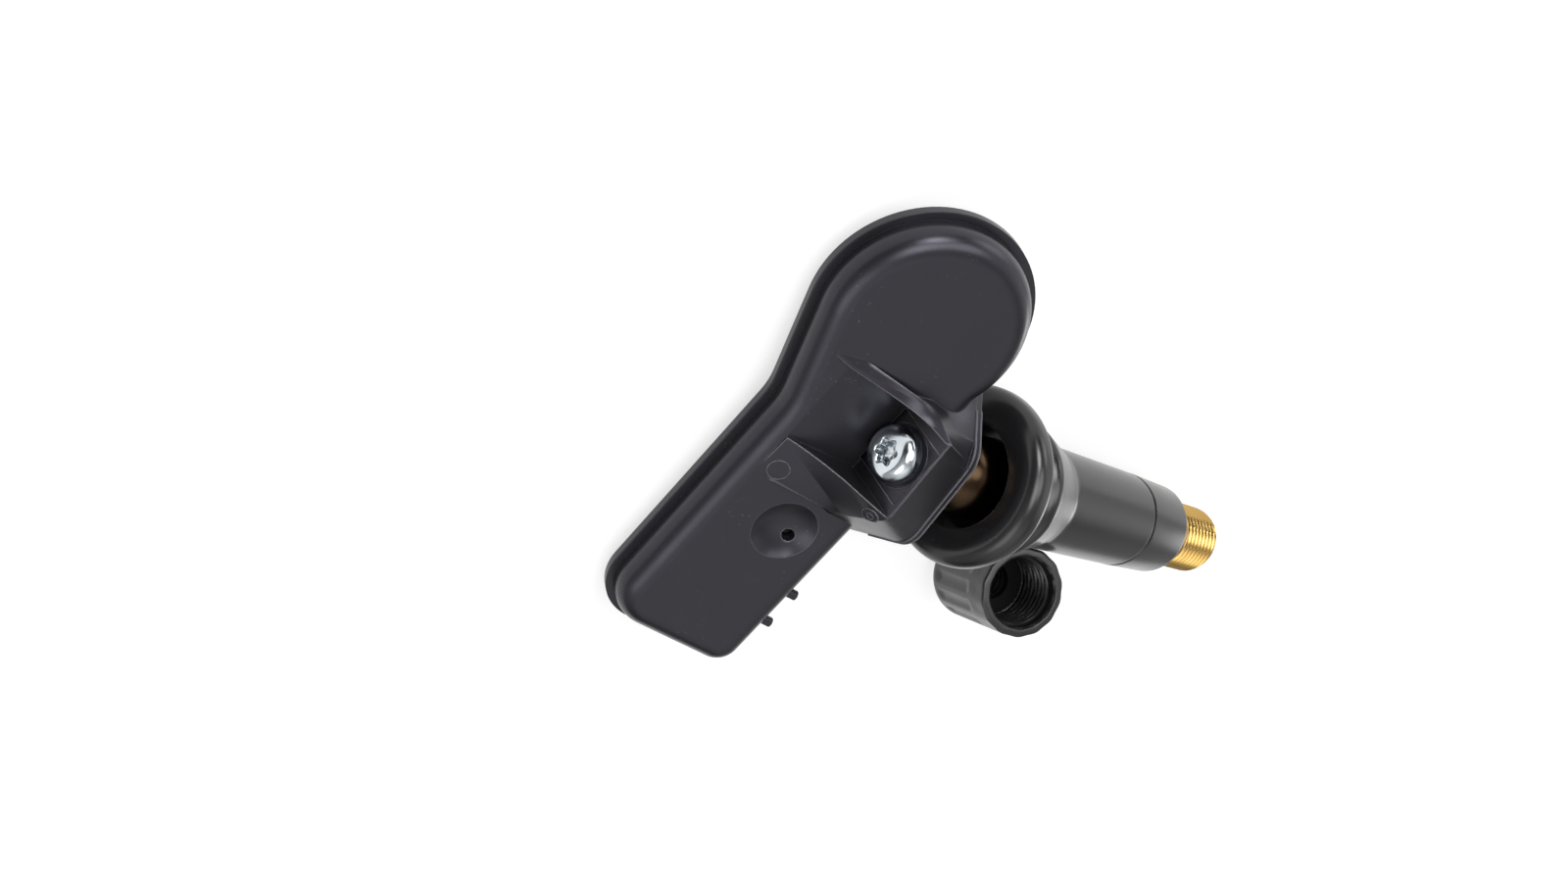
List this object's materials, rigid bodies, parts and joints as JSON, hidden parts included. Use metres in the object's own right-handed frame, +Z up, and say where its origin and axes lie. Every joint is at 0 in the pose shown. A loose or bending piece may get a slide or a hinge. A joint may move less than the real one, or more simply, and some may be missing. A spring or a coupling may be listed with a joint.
{
  "type": "tyre pressure sensor",
  "caption": "Tyre pressure sensor: moulded housing screwed to a rubber snap-in valve with a threaded brass stem and sprung core pin; dust cap off and leaning beside it.",
  "frame": {"origin": "centre of the rim seat groove, on the valve's axis", "axes": "+X level and towards the valve's mouth, +Y level and towards the battery end of the housing, +Z up from the table the sensor lies on"},
  "size_m": [0.0749, 0.0565, 0.0195],
  "materials": {
    "housing_plastic": "moulded satin charcoal",
    "cover_plastic": "moulded satin charcoal",
    "valve_rubber": "smooth moulded rubber",
    "stem_brass": "turned brass",
    "screw_zinc": "bright zinc plating",
    "cap_plastic": "moulded plastic, lightly worn",
    "seal_rubber": "soft rubber",
    "pin_steel": "drawn wire",
    "board_laminate": "solder mask over glass laminate",
    "chip_black": "moulded chip package",
    "can_steel": "nickel plated",
    "copper": "enamelled copper",
    "ceramic": "fired ceramic"
  },
  "bodies": {
    "sensor": {"housing": "housing_plastic", "rear_cover": "cover_plastic", "valve_rubber": "valve_rubber", "valve_stem": "stem_brass", "core_head": "stem_brass", "core_barrel": "stem_brass", "mounting_screw": "screw_zinc", "valve_cap": "cap_plastic", "cap_seal": "seal_rubber", "core_gasket": "seal_rubber", "port_seal": "seal_rubber", "circuit_board": "board_laminate", "sensor_chip": "chip_black", "radio_chip": "chip_black", "coil_core": "chip_black", "crystal": "can_steel", "coin_cell": "can_steel", "cell_tab_plus": "can_steel", "cell_tab_minus": "can_steel", "coil_winding": "copper", "antenna_loop": "copper", "chip_capacitors": "ceramic"},
    "valve_pin": {"core_pin": "pin_steel", "core_cup": "seal_rubber", "core_spring": "pin_steel"}
  },
  "joints": [
    {"name": "core_pin_press", "type": "slide", "parent": "sensor", "child": "valve_pin", "axis": [-0.9911, 0, 0.1328], "range_m": [0, 0.0012], "stiffness_N_per_m": 400, "springref_m": -0.001}
  ]
}
